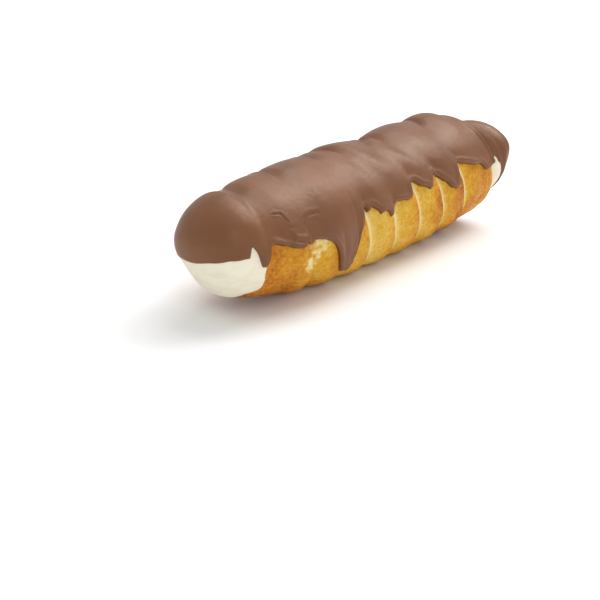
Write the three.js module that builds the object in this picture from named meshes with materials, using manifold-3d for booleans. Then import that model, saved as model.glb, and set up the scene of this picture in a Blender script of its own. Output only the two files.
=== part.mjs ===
// A chocolate-dipped cream horn: a strip of puff pastry wound round a straight mould and baked,
// filled through with whipped foam that domes out of both ends, then dipped in chocolate on top.
// Millimetres, +Z up. It lies along X with the longer dome at -X. While the parts are worked out,
// X is measured from the middle of the tube and Z from the height of its axis there.

import * as THREE from "three";
import { ParametricGeometry } from "three/addons/geometries/ParametricGeometry.js";
import { mergeVertices } from "three/addons/utils/BufferGeometryUtils.js";
import Module from "manifold-3d";

const wasm = await Module();
wasm.setup();

// The pastry tube: a barrel that narrows to both rims, with the ends a little higher than the middle.
// The front rim is square; the back rim slants, further out at its foot and on its -Y side.
const FRONT_RIM = -62;
const BACK_RIM = 63;
const BACK_RIM_SIDEWAYS = 2;
const BACK_RIM_UNDERCUT = 3.5;
const MIDDLE_RADIUS = 21.5;
const FRONT_RADIUS = 17.1;
const BACK_RADIUS = 20;
const TAPER_POWER = 3;
const FRONT_LIFT = 1.7;
const BACK_LIFT = 2.1;
const FLAT_DEPTH = 1.3;
const BORE_RADIUS = 14.5;
const BORE_LIFT = 0.7;
const BORE_OVERRUN = 8;

// The wound strip: every turn is tucked in at its -X edge and laps over the next turn at its +X edge.
const STRIP_PITCH = 14.6;
const SEAM_X = -14;
const SEAM_ANGLE = Math.PI / 2;
const TURN_TILT = 3.2;
const TUCK_DEPTH = 1.3;
const STRIP_CROWN = 0.6;
const CROWN_PLACE = 0.75;
const LIP_DROP = 0.3;
const STRIP_STATIONS = [0, 0.12, 0.3, 0.52, 0.76, 0.94];
const FIRST_SEAM_X = -52;
const LAST_SEAM_X = 50;
const SEAM_FADE = 5;

// The foam: a shank in the bore and a dome over each rim that leaves a thin lip of pastry below.
// A dome's pole can sit higher or lower than the middle of its rim, and off to the -Y side.
const FRONT_DOME = 16;
const FRONT_POLE_LIFT = -1;
const BACK_DOME = 16;
const BACK_POLE_LIFT = 3;
const BACK_POLE_SIDEWAYS = 7.5;
const FRONT_INSET = 0.4;
const BACK_INSET = 2.4;
const DOME_LIFT = 0.5;
const DOME_POWER = 2.3;
const DOME_ROWS = 7;
const DOME_BEHIND = 2;

// The chocolate: its thickness, how closely it follows the turns, and how far down it was dipped.
const COAT = 1.8;
const DOME_COAT = 1.1;
const RIM_COAT = 0.6;
const COAT_FOLLOW = 0.75;
const GAP = 0.3;
const FRONT_DIP_LEVEL = 1.5;
const FRONT_DIP_TILT = 0.09;
const BACK_DIP_LEVEL = 6;
const BACK_DIP_TILT = 0;
const FRONT_CAP_X = -67.3;
const BACK_CAP_X = 67;

// The chocolate's lower edge hangs in scallops. Each starts high at `from` and sags to `low` at `tip`;
// high and low are measured along the surface from the top line of the horn.
const NEAR_SCALLOPS = [
  { from: FRONT_CAP_X, high: 27, tip: -66, low: 29 },
  { from: -61.5, high: 28.7, tip: -47.7, low: 33 },
  { from: -45.8, high: 30.8, tip: -43, low: 33.8 },
  { from: -41.8, high: 31.8, tip: -31, low: 34.2 },
  { from: -16.4, high: 25.7, tip: -1, low: 32 },
  { from: 1.7, high: 28.3, tip: 10, low: 29.3 },
  { from: 11.3, high: 23, tip: 22.5, low: 28.3 },
  { from: 24.8, high: 23.6, tip: 38.5, low: 32.8 },
  { from: 41, high: 22.8, tip: 58.9, low: 30.8 },
  { from: 64, high: 26.3, tip: BACK_CAP_X, low: 24 },
];
const FAR_SCALLOPS = [
  { from: FRONT_CAP_X, high: 37, tip: -56, low: 35 },
  { from: -51, high: 29, tip: -39, low: 34 },
  { from: -37, high: 27, tip: -23, low: 33 },
  { from: -21, high: 28, tip: -9, low: 31.5 },
  { from: -7, high: 26, tip: 7, low: 33.5 },
  { from: 9, high: 25, tip: 21, low: 30 },
  { from: 23, high: 24, tip: 37, low: 32 },
  { from: 39, high: 23.5, tip: 60, low: 31 },
  { from: 64.5, high: 26, tip: BACK_CAP_X, low: 24 },
];

// Single drips run lower than the scallops; before and after are their half widths in X.
const NEAR_DRIPS = [
  { x: -63.2, reach: 38.9, before: 2.1, after: 1.9 },
  { x: -25.5, reach: 49.7, before: 6, after: 4.2 },
];
const FAR_DRIPS = [
  { x: -46, reach: 40, before: 3, after: 3 },
  { x: 14, reach: 44, before: 4.5, after: 4 },
];
const DRIP_POWER = 3;
const END_DRIP = { y: -17, halfWidth: 1.6, low: -4.5, reachX: 30 };

// How finely the round shapes are faceted, and the sizes of the shapes that only cut.
const AROUND = 36;
const SECTOR_STEP = 1.5;
const SECTOR_ARCS = 14;
const CUTTER_RADIUS = 26;
const CUTTER_SIZE = 200;
const MERGE_DISTANCE = 1e-3;

const SAND = 0xd9a44c;
const IVORY = 0xf3ecdb;
const COCOA = 0x5c3526;

// Solids from closed surfaces, and back to a mesh's geometry.
function solidFrom(geometry) {
  const bare = geometry.clone();
  bare.deleteAttribute("normal");
  bare.deleteAttribute("uv");
  const merged = mergeVertices(bare, MERGE_DISTANCE);
  const corners = merged.index.array;
  const triangles = [];
  for (let i = 0; i < corners.length; i += 3) {
    const [a, b, c] = corners.slice(i, i + 3);
    if (a !== b && b !== c && c !== a) triangles.push(a, b, c);
  }
  return new wasm.Manifold(new wasm.Mesh({
    numProp: 3,
    vertProperties: merged.attributes.position.array,
    triVerts: new Uint32Array(triangles),
  }));
}

function geometryFrom(solid) {
  const mesh = solid.getMesh();
  const geometry = new THREE.BufferGeometry();
  geometry.setAttribute("position", new THREE.BufferAttribute(mesh.vertProperties, 3));
  geometry.setIndex(new THREE.BufferAttribute(mesh.triVerts, 1));
  geometry.computeVertexNormals();
  return geometry;
}

// A closed surface of rings along X; the first and last rings shrink to points.
function loft(columns, rows, place) {
  const skin = (u, v, point) => place(point, Math.round(u * columns), Math.round(v * rows));
  return solidFrom(new ParametricGeometry(skin, columns, rows));
}

// A point at an angle from the top, counted towards -Y, round an axis at the given height.
function ringPoint(point, x, radius, angle, height) {
  point.set(x, -radius * Math.sin(angle), height + radius * Math.cos(angle));
}

function columnAngle(column) {
  return -Math.PI + 2 * Math.PI * (column / AROUND);
}

// The tube's own form.
function alongTube(x) {
  return x < 0 ? x / FRONT_RIM : x / BACK_RIM;
}

function tubeRadius(x) {
  const endRadius = x < 0 ? FRONT_RADIUS : BACK_RADIUS;
  return MIDDLE_RADIUS - (MIDDLE_RADIUS - endRadius) * alongTube(x) ** TAPER_POWER;
}

function axisHeight(x) {
  const endLift = x < 0 ? FRONT_LIFT : BACK_LIFT;
  return endLift * alongTube(x) ** 2;
}

// How far the back rim slants away from a square cut at this angle.
function rimSlant(angle) {
  return BACK_RIM_SIDEWAYS * Math.sin(angle) - BACK_RIM_UNDERCUT * Math.cos(angle);
}

// How far a turn of the strip has moved along X by this angle; one whole turn moves one pitch.
function turnShift(angle) {
  const past = angle - SEAM_ANGLE;
  return STRIP_PITCH * past / (2 * Math.PI) + TURN_TILT * Math.sin(past);
}

// The strip's surface across its width: low at the tuck, highest near the lip, rounded off at the lip.
function stripRelief(across) {
  const rise = Math.sin(0.5 * Math.PI * Math.min(across / CROWN_PLACE, 1));
  const lip = Math.max(across - CROWN_PLACE, 0) / (1 - CROWN_PLACE);
  return -TUCK_DEPTH + (TUCK_DEPTH + STRIP_CROWN) * rise - LIP_DROP * lip ** 2;
}

// The turns show only between the first and last seams; both ends are smooth.
function seamStrength(x) {
  const front = THREE.MathUtils.smoothstep(x, FIRST_SEAM_X, FIRST_SEAM_X + SEAM_FADE);
  const back = THREE.MathUtils.smoothstep(x, LAST_SEAM_X, LAST_SEAM_X + SEAM_FADE);
  return front * (1 - back);
}

// The wound tube as one closed shape, grown in radius and beyond its rims; rows follow the seams.
function woundTube(grow, beyond, follow) {
  const perTurn = STRIP_STATIONS.length;
  const front = FRONT_RIM - beyond;
  const back = BACK_RIM + beyond;
  const furthest = back + Math.hypot(BACK_RIM_SIDEWAYS, BACK_RIM_UNDERCUT);
  const firstTurn = Math.floor((front - SEAM_X - turnShift(Math.PI)) / STRIP_PITCH);
  const lastTurn = Math.ceil((furthest - SEAM_X - turnShift(-Math.PI)) / STRIP_PITCH);
  const stations = (lastTurn - firstTurn) * perTurn;
  const lastRow = stations + 2;
  return loft(AROUND, lastRow, (point, column, row) => {
    const angle = columnAngle(column);
    const station = THREE.MathUtils.clamp(row - 1, 0, stations);
    const across = STRIP_STATIONS[station % perTurn];
    const turn = firstTurn + Math.floor(station / perTurn) + across;
    const woundX = SEAM_X + turn * STRIP_PITCH + turnShift(angle);
    const x = THREE.MathUtils.clamp(woundX, front, back + rimSlant(angle));
    const relief = follow * seamStrength(x) * stripRelief(across);
    const isPole = row === 0 || row === lastRow;
    const radius = isPole ? 0 : tubeRadius(x) + relief + grow;
    const placeX = row === 0 ? front : row === lastRow ? back : x;
    ringPoint(point, placeX, radius, angle, axisHeight(isPole ? placeX : x));
  });
}

// The domes of foam at both ends.
const FRONT_END = {
  rim: FRONT_RIM, outwards: -1, slant: 0, inset: FRONT_INSET,
  dome: FRONT_DOME, poleLift: FRONT_POLE_LIFT, poleSideways: 0,
};
const BACK_END = {
  rim: BACK_RIM, outwards: 1, slant: 1, inset: BACK_INSET,
  dome: BACK_DOME, poleLift: BACK_POLE_LIFT, poleSideways: BACK_POLE_SIDEWAYS,
};

function domeHeight(end) {
  return axisHeight(end.rim) + DOME_LIFT;
}

// A ring of a dome: step 0 is its pole and step DOME_ROWS its widest ring, level with the rim.
function domeRing(end, step, grow) {
  const swing = 0.5 * Math.PI * step / DOME_ROWS;
  const wide = tubeRadius(end.rim) - end.inset + grow;
  const out = (end.dome + grow) * Math.max(Math.cos(swing), 0) ** (2 / DOME_POWER);
  const radius = wide * Math.sin(swing) ** (2 / DOME_POWER);
  const x = end.rim + end.outwards * (GAP + out);
  const towardsPole = out / (end.dome + grow);
  const height = domeHeight(end) + end.poleLift * towardsPole;
  return { x, radius, height, sideways: end.poleSideways * towardsPole, slant: end.slant };
}

// Rings are listed along +X and closed to points at both ends.
function ringSolid(rings) {
  return loft(AROUND, rings.length - 1, (point, column, row) => {
    const ring = rings[row];
    const angle = columnAngle(column);
    const slanting = ring.slant * rimSlant(angle) * ring.radius / BACK_RADIUS;
    ringPoint(point, ring.x + slanting, ring.radius, angle, ring.height);
    point.y -= ring.sideways;
  });
}

function domeRings(end, grow) {
  const rings = [];
  for (let step = 0; step <= DOME_ROWS; step += 1) rings.push(domeRing(end, step, grow));
  return rings;
}

// One dome on its own, closed behind its widest ring.
function domeSolid(end, grow) {
  const behind = { x: end.rim - end.outwards * DOME_BEHIND, radius: 0, height: domeHeight(end) };
  const rings = [...domeRings(end, grow), { ...behind, sideways: 0, slant: 0 }];
  return ringSolid(end.outwards < 0 ? rings : rings.reverse());
}

function foamSolid() {
  const radius = BORE_RADIUS - GAP;
  const shank = { radius, height: BORE_LIFT, sideways: 0 };
  const shankFront = { ...shank, x: FRONT_RIM - GAP, slant: 0 };
  const shankBack = { ...shank, x: BACK_RIM + GAP, slant: 1 };
  const backDome = domeRings(BACK_END, 0).reverse();
  return ringSolid([...domeRings(FRONT_END, 0), shankFront, shankBack, ...backDome]);
}

// The pastry: the wound tube, bored through and pressed flat where it stood on the baking tray.
function boreSolid() {
  const bore = { radius: BORE_RADIUS, height: BORE_LIFT, sideways: 0, slant: 0 };
  const front = { ...bore, x: FRONT_RIM - BORE_OVERRUN };
  const back = { ...bore, x: BACK_RIM + BORE_OVERRUN };
  return ringSolid([{ ...front, radius: 0 }, front, back, { ...back, radius: 0 }]);
}

function blockBelow(level) {
  const block = new THREE.BoxGeometry(CUTTER_SIZE, CUTTER_SIZE, CUTTER_SIZE);
  return solidFrom(block.translate(0, 0, level - CUTTER_SIZE / 2));
}

function pastrySolid() {
  const floor = FLAT_DEPTH - MIDDLE_RADIUS;
  return woundTube(0, 0, 1).subtract(boreSolid()).subtract(blockBelow(floor));
}

// The lower edge of the chocolate on one side, as an angle from the top.
function scallopReach(scallops, x) {
  const index = Math.max(scallops.findLastIndex((scallop) => scallop.from <= x), 0);
  const here = scallops[index];
  const next = scallops[index + 1] ?? here;
  const sag = THREE.MathUtils.smoothstep(x, here.from, here.tip);
  const lift = THREE.MathUtils.smoothstep(x, here.tip, next.from);
  const sagged = THREE.MathUtils.lerp(here.high, here.low, sag);
  return x > here.tip ? THREE.MathUtils.lerp(here.low, next.high, lift) : sagged;
}

function dripReach(drip, base, x) {
  const away = (x - drip.x) / (x < drip.x ? drip.before : drip.after);
  return base + (drip.reach - base) * Math.exp(-(Math.abs(away) ** DRIP_POWER));
}

function edgeAngle(scallops, drips, x) {
  const base = scallopReach(scallops, x);
  const reach = Math.max(base, ...drips.map((drip) => dripReach(drip, base, x)));
  return reach / (MIDDLE_RADIUS + 1);
}

// The dipped part of the tube: everything above the edge on both sides, as a fan of wedges.
function dippedTube() {
  const steps = Math.round((BACK_CAP_X - FRONT_CAP_X) / SECTOR_STEP);
  const lastColumn = SECTOR_ARCS + 2;
  return loft(lastColumn, steps + 2, (point, column, row) => {
    const step = THREE.MathUtils.clamp(row - 1, 0, steps);
    const x = THREE.MathUtils.lerp(FRONT_CAP_X, BACK_CAP_X, step / steps);
    const near = edgeAngle(NEAR_SCALLOPS, NEAR_DRIPS, x);
    const far = edgeAngle(FAR_SCALLOPS, FAR_DRIPS, x);
    const isPole = row === 0 || row === steps + 2;
    const isAxis = column === 0 || column === lastColumn;
    const angle = isPole || isAxis ? 0 : THREE.MathUtils.lerp(-far, near, (column - 1) / SECTOR_ARCS);
    const radius = isPole ? MIDDLE_RADIUS : isAxis ? 0 : CUTTER_RADIUS;
    ringPoint(point, x, radius, angle, axisHeight(x));
  });
}

// The dipped part of an end: everything beyond the cap line and above the dip level, which may tilt.
function dippedEnd(capX, outwards, level, tilt) {
  const half = CUTTER_SIZE / 2;
  const block = new THREE.BoxGeometry(CUTTER_SIZE, CUTTER_SIZE, CUTTER_SIZE).translate(0, 0, half);
  return solidFrom(block.rotateX(-tilt).translate(capX + outwards * half, 0, level));
}

// One drip runs down the -Y side of the back dome.
function endDrip() {
  const height = BACK_DIP_LEVEL - END_DRIP.low;
  const drop = new THREE.CapsuleGeometry(END_DRIP.halfWidth, height, 4, 16);
  drop.rotateX(Math.PI / 2);
  drop.scale(END_DRIP.reachX / END_DRIP.halfWidth / 2, 1, 1);
  const middle = END_DRIP.low + END_DRIP.halfWidth + height / 2;
  return solidFrom(drop.translate(BACK_CAP_X + END_DRIP.reachX / 2, END_DRIP.y, middle));
}

function coatSolid() {
  const outside = woundTube(COAT, RIM_COAT, COAT_FOLLOW)
    .add(domeSolid(FRONT_END, DOME_COAT))
    .add(domeSolid(BACK_END, DOME_COAT));
  const inside = woundTube(GAP, GAP, 1)
    .add(domeSolid(FRONT_END, GAP))
    .add(domeSolid(BACK_END, GAP));
  const dipped = dippedTube()
    .add(dippedEnd(FRONT_CAP_X, -1, FRONT_DIP_LEVEL, FRONT_DIP_TILT))
    .add(dippedEnd(BACK_CAP_X, 1, BACK_DIP_LEVEL, BACK_DIP_TILT))
    .add(endDrip());
  const pieces = outside.subtract(inside).intersect(dipped).decompose();
  return pieces.reduce((largest, piece) => (piece.volume() > largest.volume() ? piece : largest));
}

function piece(name, solid, colour, roughness) {
  const material = new THREE.MeshStandardMaterial({ color: colour, roughness });
  const mesh = new THREE.Mesh(geometryFrom(solid), material);
  mesh.name = name;
  return mesh;
}

// The horn is placed with its box centred over the origin and its flat spot on the floor.
const horn = new THREE.Group();
horn.name = "cream_horn";
horn.add(piece("pastry_tube", pastrySolid(), SAND, 0.7));
horn.add(piece("foam_filling", foamSolid(), IVORY, 0.85));
horn.add(piece("chocolate_coat", coatSolid(), COCOA, 0.4));

const box = new THREE.Box3().setFromObject(horn);
const middle = box.getCenter(new THREE.Vector3());
horn.position.set(-middle.x, -middle.y, -box.min.z);

export default horn;
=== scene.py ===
# %% [markdown]
# # A chocolate-dipped cream horn
# A long strip of puff pastry is wound round a straight tube and baked, so that every turn laps over
# the next one. The tube is filled with whipped foam that domes out of both ends, and the top of the
# whole thing is dipped in chocolate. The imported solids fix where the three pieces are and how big
# they are. This lesson models each of them again with the detail and the finish of the real one.

# %% Load the solids that fix the frame
import math

import bmesh
import bpy
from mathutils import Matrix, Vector, noise
from mathutils.kdtree import KDTree


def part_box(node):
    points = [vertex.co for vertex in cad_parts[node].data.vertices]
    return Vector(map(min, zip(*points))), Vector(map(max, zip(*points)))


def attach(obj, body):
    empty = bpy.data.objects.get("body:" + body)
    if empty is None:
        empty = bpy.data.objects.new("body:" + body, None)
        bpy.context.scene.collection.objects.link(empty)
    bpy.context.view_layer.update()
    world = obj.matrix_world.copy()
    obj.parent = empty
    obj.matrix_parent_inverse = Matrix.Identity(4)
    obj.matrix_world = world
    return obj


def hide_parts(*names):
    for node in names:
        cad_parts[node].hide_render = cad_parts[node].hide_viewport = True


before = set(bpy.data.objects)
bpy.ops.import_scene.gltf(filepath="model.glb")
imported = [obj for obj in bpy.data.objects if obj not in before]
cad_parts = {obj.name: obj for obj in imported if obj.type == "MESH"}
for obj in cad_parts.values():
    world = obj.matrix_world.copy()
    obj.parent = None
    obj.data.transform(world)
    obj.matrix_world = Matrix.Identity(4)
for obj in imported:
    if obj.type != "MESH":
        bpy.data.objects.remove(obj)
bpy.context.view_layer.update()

# %% [markdown]
# ## The form that the three pieces share
# The tube is a barrel that narrows to both rims, and its ends bend up a little. Everything else is
# measured from it, so its form is written once, as two short functions of the place along X. Each
# piece could have measures of its own, but then a change to one would leave gaps at the others. Sizes
# are in millimetres here. X starts at the middle of the tube and Z at its axis, and an angle round
# the tube is counted from the top towards -Y, the side that the camera sees.

# %% The tube's sizes and its two curves
MM = 0.001
FRONT_RIM = -62.0
BACK_RIM = 63.0
MIDDLE_RADIUS = 21.5
FRONT_RADIUS = 17.1
BACK_RADIUS = 20.0
FRONT_LIFT = 1.7
BACK_LIFT = 2.1
FLAT_DEPTH = 1.3
TAPER_POWER = 3


def along_tube(x):
    return x / FRONT_RIM if x < 0 else x / BACK_RIM


def tube_radius(x):
    end_radius = FRONT_RADIUS if x < 0 else BACK_RADIUS
    return MIDDLE_RADIUS - (MIDDLE_RADIUS - end_radius) * along_tube(x) ** TAPER_POWER


def axis_height(x):
    return (FRONT_LIFT if x < 0 else BACK_LIFT) * along_tube(x) ** 2


def ring_point(x, radius, angle, height):
    return Vector((x, -radius * math.sin(angle), height + radius * math.cos(angle)))


RIMS_AND_MIDDLE = (FRONT_RIM, 0.0, BACK_RIM)
print("radius at the rims and the middle:", [round(tube_radius(x), 1) for x in RIMS_AND_MIDDLE])

# %% The slant of the back rim, and a soft step between two values
BACK_RIM_SIDEWAYS = 2.0
BACK_RIM_UNDERCUT = 3.5


def rim_slant(angle):
    return BACK_RIM_SIDEWAYS * math.sin(angle) - BACK_RIM_UNDERCUT * math.cos(angle)


def soft_step(value, start, end):
    share = min(max((value - start) / (end - start), 0.0), 1.0)
    return share * share * (3.0 - 2.0 * share)


def mix(first, second, share):
    return first + (second - first) * share


print("the back rim slants by", rim_slant(0), "mm at the top and", rim_slant(math.pi), "mm at the foot")

# %% [markdown]
# ## From millimetres to the frame
# A finished piece keeps its object at the origin, and its place is in the mesh. So each piece is
# modelled round the tube's axis, and one helper scales it to metres and moves it to where the packed
# solids are. The boxes of the solids say where that is, so nothing is fitted by eye.

# %% Where the tube's middle is, and a helper that hands a piece over
BACK_INSET = 2.4
pastry_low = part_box("pastry_tube")[0]
foam_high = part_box("foam_filling")[1]
TUBE_MIDDLE = Vector((
    pastry_low.x - FRONT_RIM * MM,
    foam_high.y - (BACK_RADIUS - BACK_INSET) * MM,
    (MIDDLE_RADIUS - FLAT_DEPTH) * MM,
))


def hand_over(name, bm, material, node):
    bmesh.ops.recalc_face_normals(bm, faces=bm.faces)
    bmesh.ops.scale(bm, vec=(MM, MM, MM), verts=bm.verts)
    bmesh.ops.translate(bm, vec=TUBE_MIDDLE, verts=bm.verts)
    mesh = bpy.data.meshes.new(name)
    bm.to_mesh(mesh)
    bm.free()
    mesh.shade_smooth()
    mesh.materials.append(material)
    piece = bpy.data.objects.new(name, mesh)
    bpy.context.collection.objects.link(piece)
    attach(piece, "root")
    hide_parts(node)
    print(name, "has", len(mesh.polygons), "faces")
    return piece


print("the tube's middle is at", [round(1000 * value, 2) for value in TUBE_MIDDLE], "mm")

# %% [markdown]
# ## Effects that several materials share
# Crust, foam and chocolate are all uneven in tone, and all have tiny pits. The nodes could be built
# again in every material, but then a change would have to be made three times. So each effect is a
# node group that is built once, with its own inputs, and every material places it with its own
# values. The groups read a vector, so the material decides how the pattern lies on the piece.

# %% Small helpers for node trees
def add_node(tree, kind, values=None):
    node = tree.nodes.new(kind)
    for name, value in (values or {}).items():
        node.inputs[name].default_value = value
    return node


def new_group(name, inputs, output):
    group = bpy.data.node_groups.new(name, "ShaderNodeTree")
    for socket, kind in inputs.items():
        group.interface.new_socket(socket, in_out="INPUT", socket_type=kind)
    group.interface.new_socket(output, in_out="OUTPUT", socket_type="NodeSocketFloat")
    return group, group.nodes.new("NodeGroupInput"), group.nodes.new("NodeGroupOutput")


def place_group(tree, group, vector, values):
    node = tree.nodes.new("ShaderNodeGroup")
    node.node_tree = group
    tree.links.new(vector, node.inputs["Vector"])
    for name, value in values.items():
        node.inputs[name].default_value = value
    return node.outputs[0]


# %% The uneven tone: soft patches between a low and a high mark
TONE_INPUTS = {
    "Vector": "NodeSocketVector",
    "Scale": "NodeSocketFloat",
    "Detail": "NodeSocketFloat",
    "Low": "NodeSocketFloat",
    "High": "NodeSocketFloat",
}
uneven_tone, tone_in, tone_out = new_group("uneven_tone", TONE_INPUTS, "Mask")
tone_noise = add_node(uneven_tone, "ShaderNodeTexNoise")
tone_range = add_node(uneven_tone, "ShaderNodeMapRange")
for socket in ("Vector", "Scale", "Detail"):
    uneven_tone.links.new(tone_in.outputs[socket], tone_noise.inputs[socket])
uneven_tone.links.new(tone_noise.outputs["Fac"], tone_range.inputs["Value"])
uneven_tone.links.new(tone_in.outputs["Low"], tone_range.inputs["From Min"])
uneven_tone.links.new(tone_in.outputs["High"], tone_range.inputs["From Max"])
uneven_tone.links.new(tone_range.outputs["Result"], tone_out.inputs["Mask"])
print("group:", uneven_tone.name, "with", list(TONE_INPUTS))

# %% The pits: round spots round scattered points
PIT_INPUTS = {"Vector": "NodeSocketVector", "Scale": "NodeSocketFloat", "Size": "NodeSocketFloat"}
small_pits, pits_in, pits_out = new_group("small_pits", PIT_INPUTS, "Mask")
pit_cells = add_node(small_pits, "ShaderNodeTexVoronoi")
pit_range = add_node(small_pits, "ShaderNodeMapRange", {"From Min": 0.0, "To Min": 1.0, "To Max": 0.0})
for socket in ("Vector", "Scale"):
    small_pits.links.new(pits_in.outputs[socket], pit_cells.inputs[socket])
small_pits.links.new(pit_cells.outputs["Distance"], pit_range.inputs["Value"])
small_pits.links.new(pits_in.outputs["Size"], pit_range.inputs["From Max"])
small_pits.links.new(pit_range.outputs["Result"], pits_out.inputs["Mask"])
print("group:", small_pits.name, "with", list(PIT_INPUTS))

# %% A start for every material, and helpers that place the tone and sum masks
TONE_MIDDLE = 0.5
TONE_CONTRAST = 0.2


def new_material(name):
    material = bpy.data.materials.new(name)
    material.use_nodes = True
    tree = material.node_tree
    shader = tree.nodes["Principled BSDF"]
    place = tree.nodes.new("ShaderNodeTexCoord").outputs["Object"]
    return material, tree, shader, place


def tone_mask(tree, vector, scale, detail, contrast=TONE_CONTRAST):
    low = TONE_MIDDLE - contrast
    high = TONE_MIDDLE + contrast
    values = {"Scale": scale, "Detail": detail, "Low": low, "High": high}
    return place_group(tree, uneven_tone, vector, values)


def weighted(tree, value, weight, rest):
    node = add_node(tree, "ShaderNodeMath")
    node.operation = "MULTIPLY_ADD"
    tree.links.new(value, node.inputs[0])
    node.inputs[1].default_value = weight
    if isinstance(rest, float):
        node.inputs[2].default_value = rest
    else:
        tree.links.new(rest, node.inputs[2])
    return node.outputs[0]


# %% Helpers that colour a surface
def painted(tree, under, colour, mask):
    node = tree.nodes.new("ShaderNodeMix")
    node.data_type = "RGBA"
    tree.links.new(mask, node.inputs["Factor"])
    tree.links.new(under, node.inputs["A"])
    node.inputs["B"].default_value = (*colour, 1.0)
    return node.outputs["Result"]


def ramp(tree, value, stops):
    node = tree.nodes.new("ShaderNodeValToRGB")
    elements = node.color_ramp.elements
    while len(elements) < len(stops):
        elements.new(1.0)
    for element, (place, colour) in zip(elements, stops):
        element.position = place
        element.color = (*colour, 1.0)
    tree.links.new(value, node.inputs["Fac"])
    return node.outputs["Color"]


# %% Helpers that roughen a surface and read the mesh's own values
def bumped(tree, shader, height, distance, strength):
    node = add_node(tree, "ShaderNodeBump", {"Distance": distance, "Strength": strength})
    tree.links.new(height, node.inputs["Height"])
    tree.links.new(node.outputs["Normal"], shader.inputs["Normal"])


def attribute(tree, name):
    node = tree.nodes.new("ShaderNodeAttribute")
    node.attribute_name = name
    return node.outputs["Fac"]


# %% [markdown]
# ## The baked crust
# Puff pastry bakes unevenly: golden on the sides, browner where a turn stands proud, and pale where
# it was tucked under its neighbour. It could be painted by hand, but a ramp keeps all the tones in
# one family. It runs from pale dough to dark crust, and the place on it comes from an attribute of
# the mesh, called bake, with patches and freckles on top. Two more attributes mark the cut edge of
# the strip and the torn place, where the pale inside shows.

# %% Crust colours
PALE_DOUGH = (0.74, 0.53, 0.13)
GOLDEN = (0.65, 0.355, 0.022)
ORANGE_BROWN = (0.53, 0.185, 0.008)
DARK_CRUST = (0.22, 0.06, 0.006)
CUT_DOUGH = (0.84, 0.68, 0.31)
CRUST_STOPS = ((0.0, PALE_DOUGH), (0.34, GOLDEN), (0.68, ORANGE_BROWN), (1.0, DARK_CRUST))
PATCH_BAKE = 0.28
FRECKLE_BAKE = 0.3
BAKE_OFFSET = -0.29

crust, tree, shader, place = new_material("baked_crust")
patches = tone_mask(tree, place, scale=130.0, detail=3.0)
freckles = tone_mask(tree, place, scale=800.0, detail=4.0, contrast=0.18)
speckled = weighted(tree, freckles, FRECKLE_BAKE, attribute(tree, "bake"))
baked = weighted(tree, patches, PATCH_BAKE, speckled)
baked = weighted(tree, baked, 1.0, BAKE_OFFSET)
colour = ramp(tree, baked, CRUST_STOPS)
colour = painted(tree, colour, CUT_DOUGH, attribute(tree, "cut_edge"))
print("material:", crust.name)

# %% The torn place on the crust: a shaded edge and a pale core, both crumbly
TORN_DOUGH = (0.83, 0.68, 0.32)
TORN_SHADE = (0.68, 0.42, 0.09)
BLACK = (0.0, 0.0, 0.0)
WHITE = (1.0, 1.0, 1.0)
TORN_EDGE_STOPS = ((0.0, BLACK), (0.3, WHITE))
TORN_CORE_STOPS = ((0.2, BLACK), (1.0, WHITE))
TORN_WEIGHT = 1.4
CRUMB_WEIGHT = 1.5
TORN_OFFSET = -1.55

crumbs = tone_mask(tree, place, scale=520.0, detail=6.0)
crumbly = weighted(tree, crumbs, CRUMB_WEIGHT, TORN_OFFSET)
ragged = weighted(tree, attribute(tree, "torn"), TORN_WEIGHT, crumbly)
colour = painted(tree, colour, TORN_SHADE, ramp(tree, ragged, TORN_EDGE_STOPS))
colour = painted(tree, colour, TORN_DOUGH, ramp(tree, ragged, TORN_CORE_STOPS))
tree.links.new(colour, shader.inputs["Base Color"])
print("the crust's colour is built from", len(tree.nodes), "nodes")

# %% Crust sheen and relief
DRY_SHEEN = 0.2
CRUST_ROUGHNESS = 0.48
FRECKLE_ROUGHNESS = 0.25
GRAIN_RELIEF = 0.3
FRECKLE_RELIEF = 0.5
BLISTER_RELIEF = 0.35
CRUST_BUMP_DEPTH = 0.0005
CRUST_BUMP_STRENGTH = 0.55

grain = tone_mask(tree, place, scale=2400.0, detail=2.0)
blisters = place_group(tree, small_pits, place, {"Scale": 900.0, "Size": 0.5})
shader.inputs["Specular IOR Level"].default_value = DRY_SHEEN
tree.links.new(weighted(tree, freckles, FRECKLE_ROUGHNESS, CRUST_ROUGHNESS), shader.inputs["Roughness"])
relief = weighted(tree, freckles, FRECKLE_RELIEF, weighted(tree, blisters, BLISTER_RELIEF, 0.0))
relief = weighted(tree, grain, GRAIN_RELIEF, relief)
bumped(tree, shader, relief, CRUST_BUMP_DEPTH, CRUST_BUMP_STRENGTH)
print("the crust's bump is", 1000 * CRUST_BUMP_DEPTH, "mm deep")

# %% [markdown]
# ## The whipped foam
# The foam is off-white and matt. A knife wiped it smooth where it bulges out of the tube, which left
# faint level streaks, and a few air bubbles broke open. The streaks could have a texture of their
# own, but the uneven tone will do: the vector is squeezed, so that its patches draw out sideways.

# %% Foam material
FOAM_WHITE = (0.84, 0.79, 0.63)
FOAM_SHADE = (0.77, 0.71, 0.54)
FOAM_STOPS = ((0.0, FOAM_SHADE), (0.55, FOAM_WHITE))
STREAK_SQUEEZE = (0.25, 0.25, 1.6)
SHADE_SHARE = 0.5
FOAM_ROUGHNESS = 0.62
STREAK_ROUGHNESS = 0.2
BUBBLE_RELIEF = -0.8
STREAK_RELIEF = 0.6
CLOUD_RELIEF = 0.5
FOAM_BUMP_DEPTH = 0.0004
FOAM_BUMP_STRENGTH = 0.5

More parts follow.
